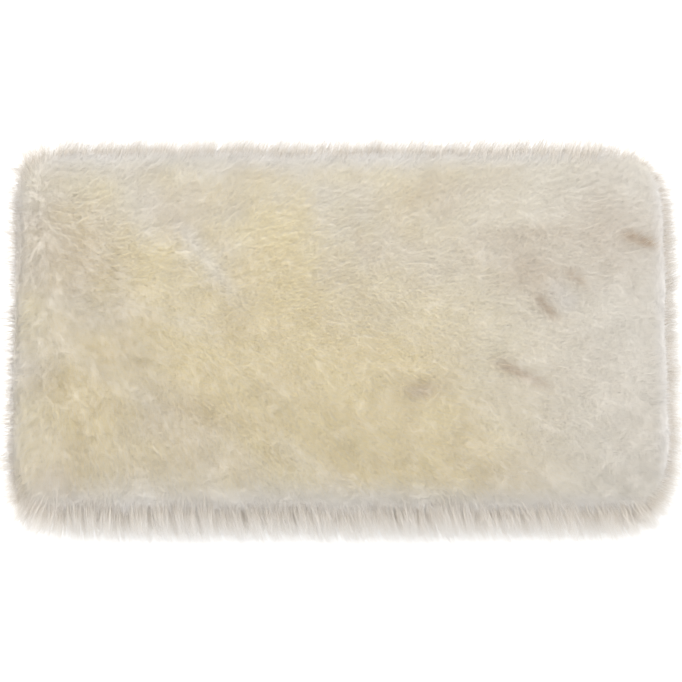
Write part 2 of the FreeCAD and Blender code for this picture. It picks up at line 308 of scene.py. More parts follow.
# Materials of the mouth's pieces. Mottled: light and dark colour, grain, relief, roughness, sheen.
MOTTLED = {
    "suede": ((0.52, 0.44, 0.33), (0.40, 0.32, 0.23), 0.8 * MM, 0.3 * MM, 0.8, 0.3),
    "rib_knit_yarn": ((0.54, 0.505, 0.44), (0.38, 0.35, 0.295), 0.25 * MM, 0.12 * MM, 0.8, 0.4),
    "sewing_thread": ((0.66, 0.62, 0.53), (0.50, 0.46, 0.38), 0.3 * MM, 0.1 * MM, 0.5, 0.1),
    "elastic_yarn": ((0.58, 0.56, 0.52), (0.44, 0.42, 0.38), 0.35 * MM, 0.12 * MM, 0.6, 0.1),
}
# Cloth: light and dark colour, thread spacings round and along the mitt in mm, relief, sheen. The
# dark colour is painted shade in the weave's hollows.
CLOTHS = {
    "lining_tricot": ((0.72, 0.69, 0.63), (0.54, 0.51, 0.46), 1.1, 1.4, 0.25 * MM, 0.2),
    "binding_tape": ((0.56, 0.50, 0.40), (0.38, 0.33, 0.25), 0.7, 1.2, 0.25 * MM, 0.2),
    "label_satin": ((0.84, 0.84, 0.82), (0.72, 0.72, 0.70), 0.5, 0.35, 0.06 * MM, 0.1),
}
THREAD_NODES = (
    "side_seam_thread", "lining_seam_thread", "binding_stitches", "cuff_hem_stitches",
    "label_stitches",
)
SLUB_SIZE = 3 * MM
COARSE_DETAIL = 3
FINE_DETAIL = 5
NOISE_BAND = (0.3, 0.7)  # most of the noise lies in this band
CLOTH_TONE_AND_PAINTED_SHADE_BAND = (0.4, 1.6)  # heights from the dark colour, painted shade in the hollows, to the light one
MOTTLED_TONE_BAND = (0.7, 1.3)
CLOTH_ROUGHNESS = (0.72, 0.92)
CLOUD_SCALE = 12  # a mottled colour's clouds are this many times its grain
ROUGHNESS_SPREAD = 0.15
BUMP_STRENGTH = 0.8
FIBRE_SPECULAR = 0.25
WOOL_SPECULAR = 0.2
WOOL_ROUGHNESS = 0.8

# Stage; a lamp is a name, a place, and a power in watts
WORLD_STRENGTH = 1.81
LAMP_SIZE = 1.3
LAMPS = (("key", (0.6, -0.5, 1.3), 3.4), ("fill", (-0.5, 0.5, 1.4), 9.5))
FLOOR_HALF = 3.0
FLOOR_GREY = 0.93
FLOOR_ROUGHNESS = 0.9
CAMERA_ELEVATION = math.radians(79)
CAMERA_DISTANCE = 1.02
FRAME_WIDTH = 0.2865
TARGET_NEARER = 2.8 * MM  # the camera looks this far on the near side of the middle


def smoothstep(low, high, value):
    t = np.clip((value - low) / (high - low), 0, 1)
    return t * t * (3 - 2 * t)


def normalised(vectors):
    return vectors / np.maximum(np.linalg.norm(vectors, axis=-1, keepdims=True), 1e-9)


def lattice_noise(points, cell, seed):
    """Smooth noise from -1 to 1 with features about one cell wide."""
    grid = points / cell
    base = np.floor(grid).astype(np.int64)
    blend = grid - base
    blend = blend * blend * (3 - 2 * blend)
    total = np.zeros(len(points))
    for corner in itertools.product((0, 1), repeat=3):
        key = (base + corner) * np.array(HASH_AXES)
        key = key[:, 0] ^ key[:, 1] ^ key[:, 2] ^ (seed * HASH_SEED)
        for bits, factor in HASH_ROUNDS:
            key = ((key ^ (key >> bits)) * factor) & HASH_MASK
        value = (key >> 8 & HASH_RANGE) * 2 / HASH_RANGE - 1
        weight = np.prod(np.where(corner, blend, 1 - blend), axis=1)
        total += weight * value
    return total


def with_noise(values, points, layers):
    """Values plus layers of smooth noise; each layer is an amount, a feature size and a seed."""
    for amount, cell, seed in layers:
        values = values + amount * lattice_noise(points, cell, seed)
    return values


def read_rows(items, field, width, kind=np.int32):
    """One field of a mesh's vertices, edges, loops or triangles, as rows of the given width."""
    values = np.empty(len(items) * width, kind)
    items.foreach_get(field, values)
    return values.reshape(-1, width)


def vertex_vectors(mesh, field):
    """The vertices' places, "co", or their normals, "normal"."""
    return read_rows(mesh.vertices, field, 3, np.float32).astype(float)


def set_points(mesh, points):
    mesh.vertices.foreach_set("co", points.astype(np.float32).ravel())
    mesh.update()


def new_object(name, data):
    piece = bpy.data.objects.new(name, data)
    bpy.context.scene.collection.objects.link(piece)
    return piece


def array_mesh(name, points, loop_vertices, face_sizes):
    """Smooth-shaded mesh from points, the corners of all faces in a row, and each face's count."""
    mesh = bpy.data.meshes.new(name)
    points = points.reshape(-1, 3)
    mesh.vertices.add(len(points))
    mesh.vertices.foreach_set("co", points.astype(np.float32).ravel())
    mesh.loops.add(len(loop_vertices))
    mesh.loops.foreach_set("vertex_index", loop_vertices.astype(np.int32))
    mesh.polygons.add(len(face_sizes))
    starts = np.cumsum(face_sizes) - face_sizes
    mesh.polygons.foreach_set("loop_start", starts.astype(np.int32))
    mesh.update(calc_edges=True)
    mesh.shade_smooth()
    return mesh


def grid_mesh(name, grids, wrap_rows, wrap_columns):
    """Mesh of quads over an array of points (grids, rows, columns, 3), closed where wrapped."""
    count, rows, columns, _ = grids.shape
    row = np.arange(rows if wrap_rows else rows - 1)[:, None]
    column = np.arange(columns if wrap_columns else columns - 1)[None, :]
    next_row = (row + 1) % rows
    next_column = (column + 1) % columns
    corners = (
        row * columns + column,
        row * columns + next_column,
        next_row * columns + next_column,
        next_row * columns + column,
    )
    quads = np.stack(corners, axis=-1).reshape(-1, 4)
    quads = (np.arange(count)[:, None, None] * rows * columns + quads).reshape(-1)
    return array_mesh(name, grids, quads, np.full(len(quads) // 4, 4))


def thickened(piece, thickness, offset):
    """Gives a sheet its thickness; the offset is -1 for behind its face and 1 for in front."""
    solidify = piece.modifiers.new("solidify", "SOLIDIFY")
    solidify.thickness = thickness
    solidify.offset = offset
    evaluated_mesh(piece)


def evaluated_mesh(piece):
    """The piece's mesh with its modifiers applied; the modifiers are then removed."""
    graph = bpy.context.evaluated_depsgraph_get()
    mesh = bpy.data.meshes.new_from_object(piece.evaluated_get(graph))
    piece.modifiers.clear()
    piece.data = mesh
    return mesh


def node_tree(nodes):
    """One search tree over the faces of several CAD nodes."""
    points = []
    faces = []
    for node in nodes:
        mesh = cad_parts[node].data
        start = len(points)
        points += [vertex.co.copy() for vertex in mesh.vertices]
        faces += [[start + index for index in polygon.vertices] for polygon in mesh.polygons]
    return BVHTree.FromPolygons(points, faces)


SKIN_TREE = node_tree(("front_hide", "back_hide", "mouth_binding"))


def nearest_skin(points):
    return np.array([SKIN_TREE.find_nearest(Vector(point))[0] for point in points])


# ---------------------------------------------------------------- fleece

def line_profile(points, line, spread=1.0):
    """Strength from 0 to 1 around one line, and the distance across it in half widths."""
    along, across, degrees, half_length, half_width, _ = line
    place = (points[:, :2] - (CENTRE.x, CENTRE.y)) / MM - (along, across)
    angle = math.radians(degrees)
    run = np.abs(place @ (math.cos(angle), math.sin(angle)))
    aside = place @ (-math.sin(angle), math.cos(angle)) / half_width
    fade = 1 - smoothstep(LINE_FADE[0] * half_length, LINE_FADE[1] * half_length, run)
    return np.exp(-(aside / spread) ** 2) * fade, aside


def lines_strength(points, lines):
    """Sum of the lines' strengths, each weighted by its height in mm."""
    return sum(line_profile(points, line)[0] * abs(line[-1]) for line in lines)


def relaxed(mesh, points, weight, rounds):
    """Points moved towards their neighbours' middle by their weights; the parting stays level."""
    edges = read_rows(mesh.edges, "vertices", 2)
    first, second = edges.T
    neighbours = np.bincount(edges.ravel(), minlength=len(points))[:, None]
    level = np.abs(points[:, 2] - SEAM_Z) < UNDERWOOL_VOXEL / 3
    for _ in range(rounds):
        total = np.zeros_like(points)
        np.add.at(total, first, points[second])
        np.add.at(total, second, points[first])
        points = points + (total / neighbours - points) * weight[:, None] / 2
        points[level, 2] = SEAM_Z
    return points


def underwool(name, node):
    """Dense wool next to the skin: the CAD fleece rounded off, drawn inwards and lumped."""
    piece = new_object(name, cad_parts[node].data.copy())
    remesh = piece.modifiers.new("remesh", "REMESH")
    remesh.mode = "VOXEL"
    remesh.voxel_size = UNDERWOOL_VOXEL
    mesh = evaluated_mesh(piece)
    points = vertex_vectors(mesh, "co")
    outer = smoothstep(*FREE_BAND, np.linalg.norm(points - nearest_skin(points), axis=1))
    points = relaxed(mesh, points, outer, ROUNDING_ROUNDS)
    set_points(mesh, points)
    reach = points - nearest_skin(points)
    height = np.linalg.norm(reach, axis=1)
    by_normal = smoothstep(0, SEAM_BAND, np.abs(points[:, 2] - SEAM_Z))[:, None]
    normals = vertex_vectors(mesh, "normal")
    outward = normalised(normals * by_normal + normalised(reach) * (1 - by_normal))
    depth = SIDE_DEPTH + (TOP_DEPTH - SIDE_DEPTH) * smoothstep(0, 1, outward[:, 2])
    depth = depth + (PRESSED_DEPTH - SIDE_DEPTH) * smoothstep(0, 1, -outward[:, 2])
    depth = np.minimum(depth, (1 - LEAST_SHARE) * height)
    relief = lines_strength(points, RIDGES) - lines_strength(points, CREASES)
    relief *= smoothstep(*TOP_BAND, outward[:, 2])
    lumps = with_noise(relief, points, LUMPS)
    points = points + outward * ((lumps * MM - depth) * outer)[:, None]
    set_points(mesh, relaxed(mesh, points, outer, SOFTENING_ROUNDS))
    mesh.shade_smooth()
    mesh.materials.clear()
    return piece


def outer_roots(piece, densities, rng):
    """Random points on the underwool's outer side, as dense as each side asks, with normals."""
    top_density, side_density, under_density = densities
    mesh = piece.data
    mesh.calc_loop_triangles()
    corners = read_rows(mesh.loop_triangles, "vertices", 3)
    points = vertex_vectors(mesh, "co")
    normals = vertex_vectors(mesh, "normal")
    reach = (points - nearest_skin(points))[corners].mean(axis=1)
    a, b, c = (points[corners[:, i]] for i in range(3))
    cross = np.cross(b - a, c - a)
    area = np.linalg.norm(cross, axis=1) / 2
    facing = normalised(cross)
    away = normalised(reach)
    height = np.linalg.norm(reach, axis=1)
    at_mouth = (points[corners, 0].mean(axis=1) < MOUTH_X) & (facing[:, 0] < 0)
    outside = at_mouth | ((height > ROOT_REACH) & ((facing * away).sum(axis=1) > ROOT_FACING))
    up = facing[:, 2]
    density = side_density + (top_density - side_density) * smoothstep(*RAMP_BAND, up)
    density = density + (under_density - side_density) * smoothstep(*TOP_BAND, -up)
    expected = np.where(outside, area * density / MM ** 2, 0)
    total = int(expected.sum())
    chosen = rng.choice(len(corners), total, p=expected / expected.sum())
    first, second = rng.random((2, total))
    flip = first + second > 1
    first = np.where(flip, 1 - first, first)[:, None]
    second = np.where(flip, 1 - second, second)[:, None]
    corner = corners[chosen]
    weights = (1 - first - second, first, second)
    roots = sum(points[corner[:, i]] * weights[i] for i in range(3))
    directions = normalised(sum(normals[corner[:, i]] * weights[i] for i in range(3)))
    return roots, directions


def plan_place(points):
    """Where points lie, seen from above: 0 fingertips to 1 mouth, and 0 far to 1 near side."""
    left = np.clip((CENTRE.x - points[:, 0]) / HALF.x / 2 + 0.5, 0, 1)
    near = np.clip((CENTRE.y - points[:, 1]) / HALF.y / 2 + 0.5, 0, 1)
    return left, near


def comb_direction(points, normals, rng):
    """Unit direction in which the wool is combed, along the surface.

    It runs towards the fingertips, swings to the near side over the near, mouth-side quarter,
    leans out over the mouth's edge, parts at the creases, hangs down the sides, and turns away
    from the opening on the mouth end.
    """
    left, near = plan_place(points)
    swing = COMB_SWING * smoothstep(*COMB_SWING_BAND, near) * left ** COMB_SWING_POWER
    angle = COMB_FAR + COMB_NEAR_TURN * near ** 3 + swing
    at_mouth = smoothstep(*COMB_MOUTH_BAND, left)
    off_corner = smoothstep(*COMB_CORNER_BAND, near)
    angle = angle + COMB_MOUTH_SHARE * (COMB_MOUTH - angle) * at_mouth * off_corner
    angle = np.radians(with_noise(angle, points, COMB_WANDER))
    flow = np.stack([np.cos(angle), -np.sin(angle), np.zeros(len(points))], axis=1)
    flow += rng.normal(0, COMB_SPREAD, flow.shape)
    flow += np.outer(smoothstep(*MOUTH_EDGE_BAND, left), (-MOUTH_EDGE_LEAN, 0, 0))
    for crease in CREASES:
        strength, aside = line_profile(points, crease, PARTING_SPREAD)
        turn = math.radians(crease[2] + 90)
        push = strength * np.tanh(aside) * PARTING_PUSH
        flow += np.outer(push, (math.cos(turn), math.sin(turn), 0))
    upright = smoothstep(*SIDE_BAND, 1 - np.abs(normals[:, 2]))[:, None]
    outward = normals * np.array([1, 1, 0])
    flow = flow + upright * (SIDE_OUTWARD * outward + np.array([0, 0, -SIDE_FALL]))
    mouth_end = smoothstep(*MOUTH_END_BAND, -normals[:, 0])[:, None]
    from_mouth = (points - (MOUTH_X, CENTRE.y, SEAM_Z)) * (0, POCKET_DROP / POCKET_HALF, 1)
    from_mouth = normalised(from_mouth) + (-MOUTH_END_LEAN, 0, 0)
    flow = flow * (1 - mouth_end) + mouth_end * from_mouth
    flow = flow - normals * (flow * normals).sum(axis=1, keepdims=True)
    return normalised(flow)


def keep_clear(paths):
    """Keeps wool off the floor and out of the mouth's opening, through which the cuff comes."""
    paths[..., 2] = np.maximum(paths[..., 2], FLOOR_GAP)
    rise = np.where(paths[..., 2] > SEAM_Z, POCKET_RISE, POCKET_DROP) + MOUTH_MARGIN
    across = (paths[..., 1] - CENTRE.y) / (POCKET_HALF + MOUTH_MARGIN)
    up = (paths[..., 2] - SEAM_Z) / rise
    inside = (across ** MOUTH_SQUARENESS + up ** MOUTH_SQUARENESS) ** (1 / MOUTH_SQUARENESS)
    push = np.where((paths[..., 0] < MOUTH_X) & (inside < 1), 1 / np.maximum(inside, MOUTH_CORE), 1)
    paths[..., 1] = CENTRE.y + (paths[..., 1] - CENTRE.y) * push
    paths[..., 2] = SEAM_Z + (paths[..., 2] - SEAM_Z) * push
    return paths


def outline_distance(points):
    """How far points lie outside the fleece's outline seen from above; negative inside."""
    along = points[..., 0] - CENTRE.x
    across = points[..., 1] - CENTRE.y
    radius = np.zeros(along.shape)
    for side_x, side_y, corner in CORNER_RADII:
        radius = np.where((along * side_x >= 0) & (across * side_y >= 0), corner, radius)
    reach = HALF.x - np.where(along > 0, FINGER_TRIM, 0)
    past_x = np.abs(along) - (reach - radius)
    past_y = np.abs(across) - (HALF.y - radius)
    beyond = np.hypot(np.maximum(past_x, 0), np.maximum(past_y, 0))
    return beyond + np.minimum(np.maximum(past_x, past_y), 0) - radius


def shear(paths, coat, rng):
    """Shortens the strands that reach past the outline, each to its own place inside it."""
    longest, shortest, power = coat["shear"]
    root = outline_distance(paths[:, 0])
    tip = outline_distance(paths[:, -1])
    limit = longest + (shortest - longest) * rng.random(len(paths)) ** power
    share = np.clip((limit - root) / np.maximum(tip - root, 1e-6), SHORTEST_SHARE, 1)
    share = np.where(tip > limit, share, 1)[:, None, None]
    return paths[:, :1] + (paths - paths[:, :1]) * share


def draw_together(paths, coat, rng):
    """Gathers the strands into locks: each leans over to the strand at the heart of its lock."""
    count = len(paths)
    hearts = rng.choice(count, max(1, count // coat["lock_strands"]), replace=False)
    tree = KDTree(len(hearts))
    for place, heart in enumerate(hearts):
        tree.insert(paths[heart, 0], place)
    tree.balance()
    heart = hearts[[tree.find(root)[1] for root in paths[:, 0]]]
    along = np.linspace(0, 1, paths.shape[1])[None, :, None]
    return paths + (paths[heart] - paths) * coat["clump"] * along


def strand_paths(roots, normals, coat, rng):
    """Each strand rises from its root and bends over into the combed direction."""
    count = len(roots)
    comb = comb_direction(roots, normals, rng)
    length = coat["length"] * with_noise(1, roots, LENGTH_WAVES)
    length = length * rng.uniform(*LENGTH_SPREAD, count)
    lift = with_noise(coat["root_lift"], roots, LIFT_WAVES) + rng.normal(0, LIFT_SPREAD, count)
    lift = lift * (1 - PRESSED_FLATNESS * smoothstep(*TOP_BAND, -normals[:, 2]))
    tip_lift = coat["tip_lift"] + rng.normal(0, TIP_LIFT_SPREAD, count)
    paths = [roots - normals * ROOT_DEPTH]
    step = length / STRAND_SEGMENTS
    for number in range(STRAND_SEGMENTS):
        along = (number + 0.5) / STRAND_SEGMENTS
        slope = lift + (tip_lift - lift) * along ** BEND_POWER
        heading = comb * np.cos(slope)[:, None] + normals * np.sin(slope)[:, None]
        sag = np.array([0, 0, -SAG]) * along ** 2 * (1 - np.abs(normals[:, 2:3]))
        paths.append(paths[-1] + normalised(heading + sag) * step[:, None])
    paths = draw_together(np.stack(paths, axis=1), coat, rng)
    return keep_clear(shear(paths, coat, rng))


def strand_mesh(name, paths, normals, radius, coat):
    """Closed three-sided needles along the paths, with the coat's taper, then a point."""
    count, knots, _ = paths.shape
    rings = knots - 1
    heading = normalised(np.diff(paths, axis=1))
    side = normalised(np.cross(heading, normals[:, None, :]))
    over = np.cross(heading, side)
    taper = np.linspace(1.0, coat["taper"], rings)
    corner_angle = np.arange(RING_SIDES) * math.tau / RING_SIDES
    wide = (radius[:, None] * taper)[:, :, None, None]
    offset = (
        side[:, :, None, :] * np.cos(corner_angle)[:, None]
        + over[:, :, None, :] * np.sin(corner_angle)[:, None]
    )
    ring_points = paths[:, :rings, None, :] + offset * wide
    points = np.concatenate([ring_points.reshape(count, -1, 3), paths[:, -1:, :]], axis=1)
    per_strand = rings * RING_SIDES + 1
    loops = []
    sizes = []
    top = (rings - 1) * RING_SIDES
    for low in range(0, top, RING_SIDES):
        for corner in range(RING_SIDES):
            following = (corner + 1) % RING_SIDES
            high = low + RING_SIDES
            loops += [low + corner, low + following, high + following, high + corner]
            sizes.append(4)
    for corner in range(RING_SIDES):
        loops += [top + corner, top + (corner + 1) % RING_SIDES, per_strand - 1]
        sizes.append(3)
    loops += list(reversed(range(RING_SIDES)))
    sizes.append(RING_SIDES)
    starts = np.arange(count)[:, None] * per_strand
    mesh = array_mesh(name, points, (starts + np.array(loops)).ravel(), np.tile(sizes, count))
    smoothing = coat["smoothing"]
    ring_normals = normalised(offset * (1 - smoothing) + normals[:, None, None, :] * smoothing)
    shading = np.concatenate([ring_normals.reshape(count, -1, 3), normals[:, None, :]], axis=1)
    mesh.normals_split_custom_set_from_vertices(shading.reshape(-1, 3).astype(np.float32))
    return mesh, per_strand


def set_attribute(mesh, name, values):
    attribute = mesh.attributes.new(name, "FLOAT", "POINT")
    attribute.data.foreach_set("value", values.astype(np.float32))


def plan_uv(mesh, root_points):
    """Lays the strands' colours out as seen from above, under the name the exporter looks for."""
    layer = mesh.uv_layers.new(name="OFBake")
    corners = read_rows(mesh.loops, "vertex_index", 1)
    low = root_points.min(axis=0)
    spread = np.ptp(root_points, axis=0)
    share = ((root_points - low) / spread)[:, :2] * (1 - 2 * UV_MARGIN) + UV_MARGIN
    layer.data.foreach_set("uv", share[corners].astype(np.float32).ravel())


def patch_sum(points, patches):
    along = (points[:, 0] - CENTRE.x) / HALF.x
    across = (points[:, 1] - CENTRE.y) / HALF.y
    total = np.zeros(len(points))
    for x, y, wide, deep, strength in patches:
        total += strength * np.exp(-(((along - x) / wide) ** 2) - ((across - y) / deep) ** 2)
    return total


def colour_attributes(mesh, roots, tip, shade):
    """Stores what the wool's material reads; tip is 0 at a strand's root and 1 at its end."""
    left, near = plan_place(roots)
    clouds = with_noise(0, roots, CLOUDS) * smoothstep(*CLOUD_BAND, left)
    warmth = BASE_WARMTH + patch_sum(roots, YELLOW_PATCHES) + clouds
    from_end = np.minimum(left, RIM_MOUTH_SCALE * (1 - left)) * HALF.x
    from_side = np.minimum(near, 1 - near) * HALF.y
    rim = 1 - smoothstep(*RIM_BAND, np.minimum(from_end, from_side) * 2)
    # The pale rim is partly paler wool and partly painted light; the fingertips are paler wool
    pale_and_painted_light = np.maximum(RIM_PALE_AND_PAINTED_LIGHT * rim, FINGER_PALE * (1 - smoothstep(*FINGER_BAND, left)))
    # Painted light along the ridges
    pale_and_painted_light = np.clip(pale_and_painted_light + RIDGE_PAINTED_LIGHT * lines_strength(roots, RIDGES), 0, 1)
    # Painted shade along the creases, added to the brown patches
    brown_and_painted_shade = patch_sum(roots, BROWN_AND_PAINTED_SHADE_PATCHES) + CREASE_PAINTED_SHADE * lines_strength(roots, CREASES)
    brown_and_painted_shade = brown_and_painted_shade + (BASE_BROWN + with_noise(0, roots, BLUSH)) * (1 - pale_and_painted_light)
    set_attribute(mesh, "warmth", np.clip(warmth, 0, 1))
    set_attribute(mesh, "pale_and_painted_light", pale_and_painted_light)
    set_attribute(mesh, "brown_and_painted_shade", np.clip(brown_and_painted_shade, 0, 1))
    set_attribute(mesh, "tip", tip)
    set_attribute(mesh, "shade", shade)


def fleece(name, node, material, fringe, rng):
    """Underwool and strands of one panel."""
    base = underwool(name + "_underwool", node)
    points = vertex_vectors(base.data, "co")
    shade = np.full(len(points), UNDERWOOL_SHADE)
    colour_attributes(base.data, points, np.zeros(len(points)), shade)
    dress(base, material, "mitt", "wool", node)
    grow(name + "_pile", base, PILE, material, rng)
    grow(name + "_halo", base, HALO, fringe, rng)


def grow(name, base, coat, material, rng):
    """One coat of strands on an underwool, in pieces of a size that other programs take."""
    roots, normals = outer_roots(base, coat["densities"], rng)
    paths = strand_paths(roots, normals, coat, rng)
    radius = coat["radius"] * rng.uniform(*RADIUS_SPREAD, len(roots))
    shade = rng.random(len(roots))
    pieces = math.ceil(len(roots) / STRANDS_PER_PIECE)
    tip = np.repeat(np.linspace(0, 1, STRAND_SEGMENTS + 1), [RING_SIDES] * STRAND_SEGMENTS + [1])
    from_mouth = np.argsort(roots[:, 0])
    for number, part in enumerate(np.array_split(from_mouth, pieces), 1):
        piece_name = f"{name}_{number:02d}"
        mesh, per_strand = strand_mesh(piece_name, paths[part], normals[part], radius[part], coat)
        root_points = np.repeat(roots[part], per_strand, axis=0)
        tips = np.tile(tip, len(part))
        colour_attributes(mesh, root_points, tips, np.repeat(shade[part], per_strand))
        plan_uv(mesh, root_points)
        piece = new_object(piece_name, mesh)
        dress(piece, material, "mitt", "wool")


# ---------------------------------------------------------------- pocket, binding and cuff

def crown_arc(half_span, rise, side_radius):
    """Radius of the shallow arc that meets a side arc smoothly, and its half angle."""
    across = half_span - side_radius
    radius = (across ** 2 + rise ** 2 - side_radius ** 2) / (2 * (rise - side_radius))
    return radius, math.atan2(across, radius - rise)


def oval_height(distance, half_span, rise, side_radius):
    """Height of an oval over its long axis at distances from its middle."""
    radius, half_angle = crown_arc(half_span, rise, side_radius)
    across = half_span - side_radius
    bend = np.sqrt(np.maximum(side_radius ** 2 - (distance - across) ** 2, 0))
    crown = np.sqrt(np.maximum(radius ** 2 - distance ** 2, 0)) + rise - radius
    return np.where(distance < radius * math.sin(half_angle), crown, bend)


def pocket_ring(count):
    """Points round the pocket's section, evenly spaced, their outward normals, and the girth."""
    across = POCKET_HALF - SIDE_RADIUS
    top, top_angle = crown_arc(POCKET_HALF, POCKET_RISE, SIDE_RADIUS)
    low, low_angle = crown_arc(POCKET_HALF, POCKET_DROP, SIDE_RADIUS)
    up = math.pi / 2
    down = 3 * math.pi / 2
    arcs = (
        (across, 0, SIDE_RADIUS, 0, up - top_angle),
        (0, POCKET_RISE - top, top, up - top_angle, up + top_angle),
        (-across, 0, SIDE_RADIUS, up + top_angle, down - low_angle),
        (0, low - POCKET_DROP, low, down - low_angle, down + low_angle),
        (across, 0, SIDE_RADIUS, down + low_angle, math.tau),
    )
    centre_y, centre_z, radius, first, last = np.array(arcs).T
    ends = np.cumsum(radius * (last - first))
    place = np.arange(count) / count * ends[-1]
    arc = np.searchsorted(ends, place, side="right")
    angle = last[arc] - (ends[arc] - place) / radius[arc]
    normals = np.stack([np.cos(angle), np.sin(angle)], axis=1)
    ring = np.stack([centre_y[arc], centre_z[arc]], axis=1) + radius[arc, None] * normals
    return ring, normals, ends[-1]


def ring_places(along, inset, ring, normals):
    """Points at places along the mitt and insets from the hide, for points round the section."""
    section = ring - inset[..., None] * normals
    along = np.broadcast_to(along, section.shape[:-1])
    return np.stack([along, section[..., 0], section[..., 1] + SEAM_Z], axis=-1)


def dress(piece, material, body, slot, *nodes):
    """Gives a piece its material and body, and hides the CAD nodes that it stands for. The slot is
    not used.
    """
    piece.data.materials.clear()
    piece.data.materials.append(material)
    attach(piece, body)
    if nodes:
        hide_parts(*nodes)


def cloth(name, places, wraps, around, along, thickening, *dressing):
    """A cloth's piece from its grid of places, with its places round and along it for the weave."""
    mesh = grid_mesh(name, places[None], *wraps)
    for field, place in zip(("around", "along"), np.broadcast_arrays(around, along)):
        set_attribute(mesh, field, (place / MM).ravel())
    piece = new_object(name, mesh)
    if thickening:
        thickened(piece, *thickening)
    dress(piece, *dressing)
    return piece


def skin_sheet(name, side, inset, thickness, wrinkle, material, slot, node):
    """One panel's layer round the pocket; side is 1 for the front panel and -1 for the back one."""
    end = FINGER_X - inset
    crowding = np.sin(np.linspace(0, math.pi / 2, SKIN_ROWS)) ** SKIN_CROWDING
    along = (MOUTH_X + (end - MOUTH_X) * crowding)[:, None]
    turn = np.linspace(0, math.pi, SKIN_COLUMNS)[None, :] * side
    corner = CORNER_RADIUS - inset
    past_corner = np.maximum(along - (end - corner), 0)
    half_span = POCKET_HALF - inset
    half_width = half_span - corner + np.sqrt(np.maximum(corner ** 2 - past_corner ** 2, 0))
    rise = (POCKET_RISE if side > 0 else POCKET_DROP) - inset
    side_radius = SIDE_RADIUS - inset
    section = oval_height(np.abs(np.cos(turn)) * half_span, half_span, rise, side_radius)
    past_nose = np.maximum(along - (FINGER_X - NOSE_LENGTH), 0)
    nose = oval_height(past_nose, NOSE_LENGTH - inset, rise, side_radius)
    height = np.minimum(section, nose)
    across = half_width * np.cos(turn)
    places = np.stack(np.broadcast_arrays(along, across, SEAM_Z + side * height), axis=-1)
    flat = places.reshape(-1, 3)
    folds = with_noise(FOLD_LEVEL, flat * np.array(FOLD_STRETCH), FOLDS)
    free = smoothstep(*(CUFF_HIGH.x + np.array(FOLD_START)), flat[:, 0])
    free *= smoothstep(*FOLD_HEIGHT, height.ravel())
    flat[:, 2] -= side * wrinkle * np.clip(folds, 0, 1) * free
    around = np.abs(turn) * POCKET_HALF
    piece = cloth(
        name, places, (False, False), around, along, (thickness, 1), material, "mitt", slot, node
    )


def skins(hide, lining):
    """The hide and the lining of both panels."""
    for side, panel in ((1, "front"), (-1, "back")):
        skin_sheet(
            panel + "_skin", side, 0, HIDE_THICKNESS, 0,
            hide, "hide", panel + "_hide",
        )
        skin_sheet(
            panel + "_lining_cloth", side, HIDE_THICKNESS, LINING_THICKNESS, LINING_WRINKLE,
            lining, "lining", panel + "_lining",
        )


def binding_tape(material):
    """Tape folded over the mouth's edge, drawn in a little at each stitch."""
    count = BINDING_STITCHES * BINDING_POINTS
    ring, normals, girth = pocket_ring(count)
    fold = np.linspace(0, math.pi, FOLD_POINTS)[:, None]
    fold_radius = SKINS / 2 + BINDING_THICKNESS
    fold_x = MOUTH_X - BINDING_THICKNESS * np.sin(fold)
    outer_fold = np.hstack([fold_x, SKINS / 2 - fold_radius * np.cos(fold)])
    leg = np.linspace(1, 0, LEG_POINTS)[:-1, None]
    leg_x = MOUTH_X + leg * (BINDING_END - MOUTH_X)
    outer_leg = np.hstack([leg_x, np.full_like(leg, -BINDING_THICKNESS)])
    inner_leg = np.hstack([outer_leg[::-1, :1], np.full_like(leg, SKINS + BINDING_THICKNESS)])
    lip = np.array([[BINDING_END, SKINS], [MOUTH_X, SKINS], [MOUTH_X, 0], [BINDING_END, 0]])
    profile = np.vstack([outer_leg, outer_fold, inner_leg, lip])
    pucker = np.cos(np.arange(count) * math.tau * BINDING_STITCHES / count) * BINDING_PUCKER
    from_middle = profile[:, 1:] - SKINS / 2
    outward = np.sign(from_middle) * (np.abs(from_middle) > SKINS / 2)
    inset = profile[:, 1:] + np.minimum(pucker, 0) * outward
    places = ring_places(profile[:, :1], inset, ring, normals)
    run = np.cumsum(np.hypot(*np.diff(profile, axis=0, prepend=profile[:1]).T))[:, None]
    around = np.arange(count) / count * girth
    piece = cloth(
        "mouth_tape", places, (True, True), around, run, None,
        material, "mitt", "binding", "mouth_binding",
    )


def rib_level(column):
    """Plain columns stand out (1) and purl ones lie in (-1), two by two, softly changing."""
    return np.tanh(RIB_SHARPNESS * np.sin(column * math.pi / 2)) / math.tanh(RIB_SHARPNESS)


def cuff_inset(column, along):
    """Inset of the knit from the hide: ribbed, and drawn outwards over the elastic."""
    level = rib_level(column)
    elastic = np.linspace(ELASTIC_FIRST, ELASTIC_LAST, ELASTIC_RINGS)
    pull = np.exp(-((along[..., None] - elastic) / ELASTIC_REACH) ** 2).max(axis=-1)
    share = OUTER_PULL + (1 - OUTER_PULL) * np.maximum(-level, 0)
    return CUFF_MIDDLE - level * RIB_RELIEF - ELASTIC_PULL * pull * share


def cuff_web(material, yarn_pieces):
    """The thin body of the knit between its loops, ribbed as they are."""
    columns = WALES * WEB_STEPS
    ring, normals, girth = pocket_ring(columns)
    column = np.arange(columns)[None, :] * WALES / columns
    along = np.linspace(CUFF_LOW.x + WEB_END_GAP, CUFF_HIGH.x - WEB_END_GAP, WEB_ROWS)[:, None]
    inset = cuff_inset(column, np.broadcast_to(along, (WEB_ROWS, columns)))
    places = ring_places(along, inset, ring, normals)
    around = np.arange(columns)[None, :] / columns * girth
    piece = cloth(
        "cuff_web", places, (False, True), around, along, (WEB_THICKNESS, 0),
        material, "cuff", "knit", "knit_cuff",
    )


